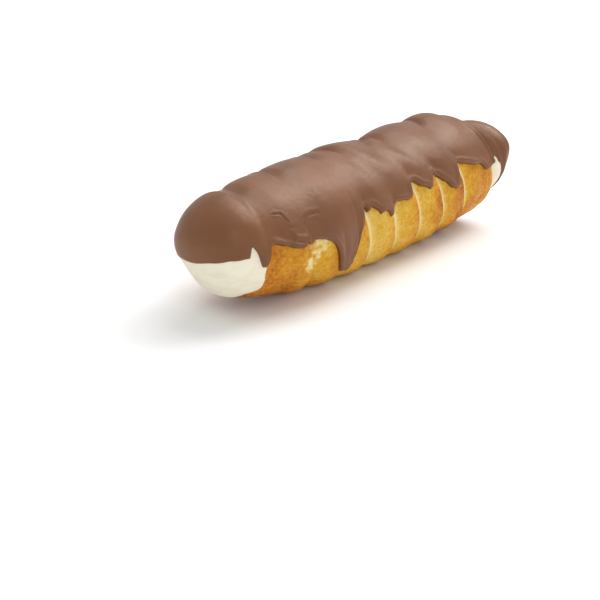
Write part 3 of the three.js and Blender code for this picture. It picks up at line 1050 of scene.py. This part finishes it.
# %% Folds, ledges and the burst bubble near the front
FOLD_LINE = (
    (-38.1, 57.0), (-42.6, 56.2), (-45.6, 59.0), (-46.1, 62.8),
    (-49.0, 64.0), (-52.5, 62.0), (-53.1, 66.0), (-51.6, 71.0),
)
FLAP_OFFSET = 2.8
FLAP_LINE = tuple((x, degrees - FLAP_OFFSET) for x, degrees in FOLD_LINE)
LEDGE_LINES = (
    ((-59.0, 72.5), (-54.8, 77.7), (-47.6, 83.0)),
    ((-50.9, 72.0), (-46.1, 75.6)),
)
FOLDS_END = -33.0
FOLD_DEPTH = 0.3
FOLD_WIDTH = 0.36
FLAP_HEIGHT = 0.12
FLAP_WIDTH = 0.9
LEDGE_HEIGHT = 0.65
LEDGE_WIDTH = 0.85
BUBBLE_LINE = ((-55.8, 45.2), (-53.2, 47.2), (-52.0, 56.0))
BUBBLE_WIDTH = 0.38
BUBBLE_DEPTH = 0.42
BUBBLE_POWER = 4
BUBBLE_RIM = 0.3
BUBBLE_RIM_PLACE = 1.3
BUBBLE_RIM_WIDTH = 0.5


def ridge_along(x, angle, line, width):
    return math.exp(-(line_distance(x, angle, line) / width) ** 2)


def fold_relief(x, angle):
    if x > FOLDS_END:
        return 0.0
    fold = FLAP_HEIGHT * ridge_along(x, angle, FLAP_LINE, FLAP_WIDTH)
    fold -= FOLD_DEPTH * ridge_along(x, angle, FOLD_LINE, FOLD_WIDTH)
    ledge = LEDGE_HEIGHT * max(ridge_along(x, angle, line, LEDGE_WIDTH) for line in LEDGE_LINES)
    bubble = line_distance(x, angle, BUBBLE_LINE) / BUBBLE_WIDTH
    rim = BUBBLE_RIM * math.exp(-((bubble - BUBBLE_RIM_PLACE) / BUBBLE_RIM_WIDTH) ** 2)
    pit = rim - BUBBLE_DEPTH * math.exp(-bubble ** BUBBLE_POWER)
    return fold + ledge + pit


print("folds end at", FOLDS_END, "mm, and the deepest is", max(FOLD_DEPTH, BUBBLE_DEPTH), "mm deep")

# %% Waves, and the coat's body over the front dome
DOME_COAT = 1.1
SHOULDER = 1.5
SHOULDER_POWER = 1.3
SHOULDER_SPAN = (0.1, 0.9)
SHOULDER_FALL = 7.0
SOFT_ANGLE = math.radians(40)
WAVE_SIZE = 11.0
WAVE_HEIGHT = 0.15
FINE_WAVES = 0.35
FINE_WAVE_SCALE = 3.0


def waves(point):
    fine = noise.noise(FINE_WAVE_SCALE * point / WAVE_SIZE)
    return WAVE_HEIGHT * (noise.noise(point / WAVE_SIZE) + FINE_WAVES * fine)


def front_dome_body(x, out, angle):
    shoulder = SHOULDER * (1.0 - out / FRONT_END["dome"]) ** SHOULDER_POWER
    full = DOME_COAT + shoulder * soft_step(math.cos(angle), *SHOULDER_SPAN)
    part = 1.0 - min((lap_x(LAPS[0], angle) - x) / SHOULDER_FALL, 1.0)
    nearness = soft_step(angle, 0.0, SOFT_ANGLE)
    fall = mix(part ** 2, soft_step(part, 0.0, 1.0), nearness)
    return mix(full, mix(LAPS[0]["end"], NEAR_END, nearness), fall)


pole_body = front_dome_body(stations[0]["x"], FRONT_END["dome"], 0.0)
print("the coat's body at the front pole:", round(pole_body, 2), "mm")

# %% Thickness of the coat, with its thick and rounded edge
BACK_DOME_COAT = 1.6
EDGE_THICKNESS = 1.2
EDGE_ROUND = 1.0
EDGE_BLEND = 7.0
BEAD_HEIGHT = 0.45
BEAD_PLACE = 1.3
BEAD_WIDTH = 0.8
DOME_EDGE = 0.6
DOME_EDGE_LENGTH = 5.0
LEAST_COAT = 0.5
TOUCH = 0.02


def rounded_edge(away):
    return math.sqrt(1.0 - (1.0 - min(away / EDGE_ROUND, 1.0)) ** 2)


def pastry_under(x, angle):
    return seam_strength(x) * strip_relief(strip_place(x, angle))


def coat_body(station, angle):
    x = station["x"]
    end = station["end"]
    if end is BACK_END:
        return BACK_DOME_COAT
    swell = swell_at(x, angle)
    if swell is None:
        swell = front_dome_body(x, station.get("out", 0.0), angle)
    return swell + (FRONT_INSET if end else 0.0)


def coat_thickness(station, angle):
    skin = coat_point(station, angle, 0.0)
    away = edge_points.find(skin)[2]
    under = 0.0 if station["end"] else pastry_under(station["x"], angle)
    body = max(coat_body(station, angle) + waves(skin), under + LEAST_COAT)
    bead = BEAD_HEIGHT * math.exp(-((away - BEAD_PLACE) / BEAD_WIDTH) ** 2)
    edge = 0.5 * (body + under + EDGE_THICKNESS) + bead
    if station["end"]:
        edge = mix(edge, DOME_EDGE, soft_step(station["out"], 0.0, DOME_EDGE_LENGTH))
    thickness = mix(edge, body, soft_step(away, 0.0, EDGE_BLEND))
    return mix(under + TOUCH, thickness, rounded_edge(away))


middle_station = stations[len(stations) // 2]
print("the coat's thickness at the middle of the top:", round(coat_thickness(middle_station, 0.0), 2), "mm")

# %% Lines that stay crisp: folds, the lips of the laps and the back rim
LIP_RUN = 1.0
LIP_RIDGE = 0.3
LIP_RECOVERY = 5.0
RIM_LINE = 0.6
RIM_LINE_WIDTH = 0.8
THINNEST = 0.15


def lip_groove(x, angle, lap):
    past = x - lap_x(lap, angle)
    if past < 0.0:
        share = soft_step(past, -LIP_RUN, 0.0) - LIP_RIDGE * math.exp(-((past + LIP_RUN) / LIP_RUN) ** 2)
    else:
        share = 1.0 - soft_step(past, 0.0, LIP_RECOVERY)
    return lap["lip"] * share * (1.0 - soft_step(angle, LIP_FADE_START, LIP_FADE_END))


def crisp_relief(station, angle, thickness):
    if station["end"]:
        return 0.0
    x = station["x"]
    lines = fold_relief(x, angle) + RIM_LINE * math.exp(-((x - BACK_RIM) / RIM_LINE_WIDTH) ** 2)
    lines -= max((lip_groove(x, angle, lap) for lap in LAPS), key=abs)
    lines *= rounded_edge(edge_points.find(coat_point(station, angle, 0.0))[2])
    return max(lines, min(THINNEST + pastry_under(x, angle) - thickness, 0.0))


print("the lips of the laps are up to", max(lap["lip"] for lap in LAPS), "mm deep")

# %% How the grid rolls up, and which part of it is the front bend
GRID_TOLERANCE = 1e-4
EDGE_CROWDING = 0.6
BEND_LENGTH = 9.0
BEND_START = math.radians(5)
BEND_MARGIN = math.radians(12)


def place_across(around):
    across = 2.0 * around + 1.0 if around < GRID_TOLERANCE else 1.0 - 2.0 * around
    across = min(max(across, -1.0), 1.0)
    return mix(across, math.sin(0.5 * math.pi * across), EDGE_CROWDING)


def is_in_bend(station, angle):
    close = abs(station["x"] - FRONT_RIM) < BEND_LENGTH
    return close and BEND_START < angle < station["near"] - BEND_MARGIN


print("from edge to edge the roll goes", place_across(-1.0), "to", place_across(0.0))

# %% Roll the grid, and note what is to be softened and pushed
COAT_COLUMNS = 116
WHOLE_SPREAD = 0.999
last_station = len(stations) - 1
coat_bm = bmesh.new()
bmesh.ops.create_grid(coat_bm, x_segments=last_station, y_segments=2 * COAT_COLUMNS, size=1.0)
outside = []
crisp = []
front_bend = []
for vert in coat_bm.verts:
    index = round(0.5 * (vert.co.x + 1.0) * last_station)
    station = stations[index]
    around = vert.co.y
    is_outside = around < GRID_TOLERANCE or around > 1.0 - GRID_TOLERANCE
    spread = place_across(around)
    angle = spread * (station["near"] if spread > 0 else station["far"])
    if is_outside:
        thickness = coat_thickness(station, angle)
        vert.co = coat_point(station, angle, thickness)
    elif station["end"]:
        vert.co = coat_point(station, angle, TOUCH)
    else:
        vert.co = coat_point(station, angle, TOUCH + pastry_under(station["x"], angle))
    if is_outside and abs(spread) < WHOLE_SPREAD and 0 < index < last_station:
        outside.append(vert)
        crisp.append(ring_point(0.0, crisp_relief(station, angle, thickness), angle, 0.0))
        if is_in_bend(station, angle):
            front_bend.append(vert)
print("grid of", len(coat_bm.verts), "points,", len(outside), "of them outside")

# %% Soften the outside, add the crisp lines and close the roll
SOFTENING = 0.5
SOFTENING_ROUNDS = 3
BEND_ROUNDS = 14


def soften(bm, verts, rounds):
    for _ in range(rounds):
        bmesh.ops.smooth_vert(
            bm, verts=verts, factor=SOFTENING, use_axis_x=True, use_axis_y=True, use_axis_z=True,
        )


soften(coat_bm, outside, SOFTENING_ROUNDS)
soften(coat_bm, front_bend, BEND_ROUNDS)
for vert, push in zip(outside, crisp):
    vert.co += push
bmesh.ops.remove_doubles(coat_bm, verts=coat_bm.verts, dist=MERGE_DISTANCE)
print("open edges left:", sum(edge.is_boundary for edge in coat_bm.edges))
hand_over("chocolate_dip", coat_bm, chocolate, "chocolate_coat")

# %% [markdown]
# ## Floor, light and camera
# The horn lies on a plain white floor under soft light. A picture of a room could light it, but plain
# area lamps are easier to steer. Two of them hang above and beyond the back end, where they give the
# chocolate its broad highlights, and a weaker one fills the near side. A pale world keeps the shadows
# light. The camera looks down along the horn from its front end.

# %% Floor
FLOOR_SIZE = 3.0
FLOOR_ROUGHNESS = 0.7
FLOOR_SHADE = (0.90, 0.90, 0.90)
FLOOR_WHITE = (0.92, 0.92, 0.92)
FLOOR_STOPS = ((0.0, FLOOR_SHADE), (1.0, FLOOR_WHITE))

floor_material, tree, shader, place = new_material("white_floor")
shader.inputs["Roughness"].default_value = FLOOR_ROUGHNESS
cloudy = tone_mask(tree, place, scale=3.0, detail=2.0)
tree.links.new(ramp(tree, cloudy, FLOOR_STOPS), shader.inputs["Base Color"])
floor_bm = bmesh.new()
bmesh.ops.create_grid(floor_bm, x_segments=1, y_segments=1, size=FLOOR_SIZE)
floor_mesh = bpy.data.meshes.new("floor")
floor_bm.to_mesh(floor_mesh)
floor_bm.free()
floor_mesh.materials.append(floor_material)
floor = bpy.data.objects.new("floor", floor_mesh)
bpy.context.collection.objects.link(floor)
print("the floor is", 2 * FLOOR_SIZE, "m wide")

# %% Lights
LAMPS = (
    {"name": "lamp_behind", "place": (0.66, -0.15, 0.75), "size": 0.45, "power": 3.3},
    {"name": "lamp_above", "place": (0.45, 0.1, 0.92), "size": 0.8, "power": 5.4},
    {"name": "lamp_near_side", "place": (-0.5, -0.9, 0.6), "size": 0.5, "power": 1.3},
)
WORLD_COLOUR = (1.0, 1.0, 1.0, 1.0)
WORLD_STRENGTH = 0.72


def add_lamp(name, place, size, power):
    lamp = bpy.data.lights.new(name, "AREA")
    lamp.size = size
    lamp.energy = power
    holder = bpy.data.objects.new(name, lamp)
    holder.location = place
    holder.rotation_euler = Vector(place).to_track_quat("Z", "Y").to_euler()
    bpy.context.collection.objects.link(holder)


for lamp in LAMPS:
    add_lamp(**lamp)
world = bpy.data.worlds.new("pale_world")
world.use_nodes = True
background = world.node_tree.nodes["Background"]
background.inputs["Color"].default_value = WORLD_COLOUR
background.inputs["Strength"].default_value = WORLD_STRENGTH
bpy.context.scene.world = world
bpy.context.scene.view_settings.view_transform = "Standard"
print("lamps:", [lamp["name"] for lamp in LAMPS])

# %% Camera
LENS = 75.0
CAMERA_AZIMUTH = math.radians(-48.37)
CAMERA_ELEVATION = math.radians(23.0)
CAMERA_PLACE = Vector((-338.0, -276.7, 148.7)) * MM
backwards = Vector((
    math.sin(CAMERA_AZIMUTH) * math.cos(CAMERA_ELEVATION),
    -math.cos(CAMERA_AZIMUTH) * math.cos(CAMERA_ELEVATION),
    math.sin(CAMERA_ELEVATION),
))
camera_data = bpy.data.cameras.new("camera")
camera_data.lens = LENS
camera = bpy.data.objects.new("camera", camera_data)
camera.location = TUBE_MIDDLE + CAMERA_PLACE
camera.rotation_euler = backwards.to_track_quat("Z", "Y").to_euler()
bpy.context.collection.objects.link(camera)
bpy.context.scene.camera = camera
print("the camera is", round(camera.location.length, 2), "m from the origin")
